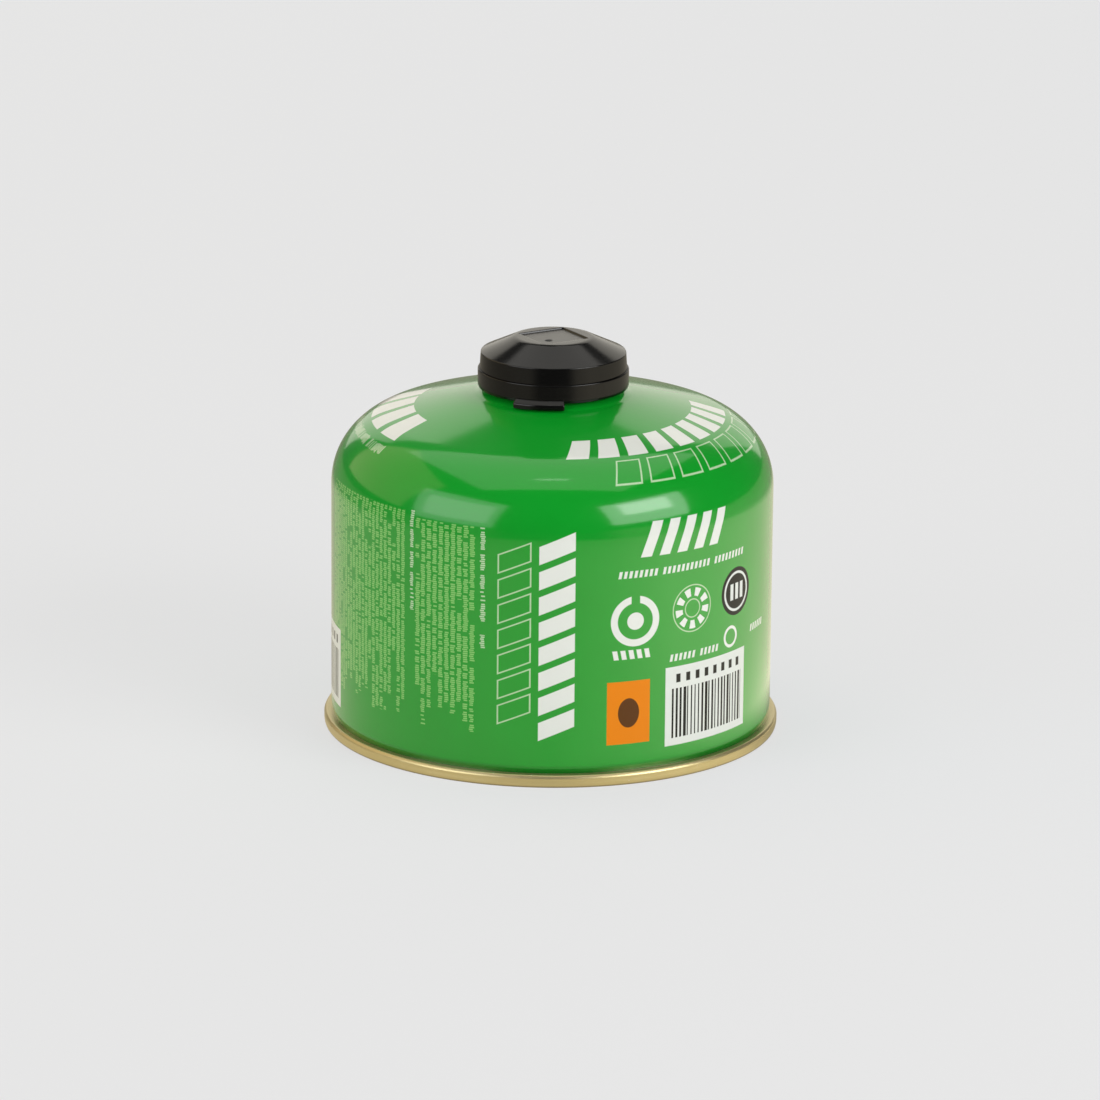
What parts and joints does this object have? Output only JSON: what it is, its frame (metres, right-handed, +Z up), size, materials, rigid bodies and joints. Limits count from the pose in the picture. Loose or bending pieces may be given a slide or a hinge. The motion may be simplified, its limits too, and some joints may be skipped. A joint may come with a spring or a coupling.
{
  "type": "fuel canister",
  "caption": "Squat domed steel gas canister with a seamed gold foot, a threaded self-sealing valve and a black push-fit cap.",
  "frame": {"origin": "middle of the seam's foot, on the surface that the canister stands on", "axes": "+Z up along the can's axis; -Y faces the picture's camera"},
  "size_m": [0.11, 0.11, 0.096],
  "materials": {
    "green_lacquer": "gloss green lacquer over tinplate, with white print",
    "gold_steel": "satin gold-lacquered tinplate",
    "black_plastic": "moulded black polypropylene, low gloss",
    "black_rubber": "matt nitrile rubber",
    "white_plastic": "natural acetal",
    "spring_steel": "drawn stainless wire"
  },
  "bodies": {
    "canister": {"can": "green_lacquer", "cup_gasket": "black_rubber", "valve_cup": "gold_steel", "turret_seal": "black_rubber", "valve_housing": "white_plastic", "valve_spring": "spring_steel"},
    "stem": {"valve_stem": "white_plastic"},
    "cap": {"cap": "black_plastic"}
  },
  "joints": [
    {"name": "cap_pull", "type": "slide", "parent": "canister", "child": "cap", "axis": [0, 0, 1], "range_m": [0, 0.03]},
    {"name": "stem_press", "type": "slide", "parent": "canister", "child": "stem", "axis": [0, 0, 1], "range_m": [-0.002, 0], "stiffness_N_per_m": 2000, "deforming": ["valve_spring"]}
  ]
}
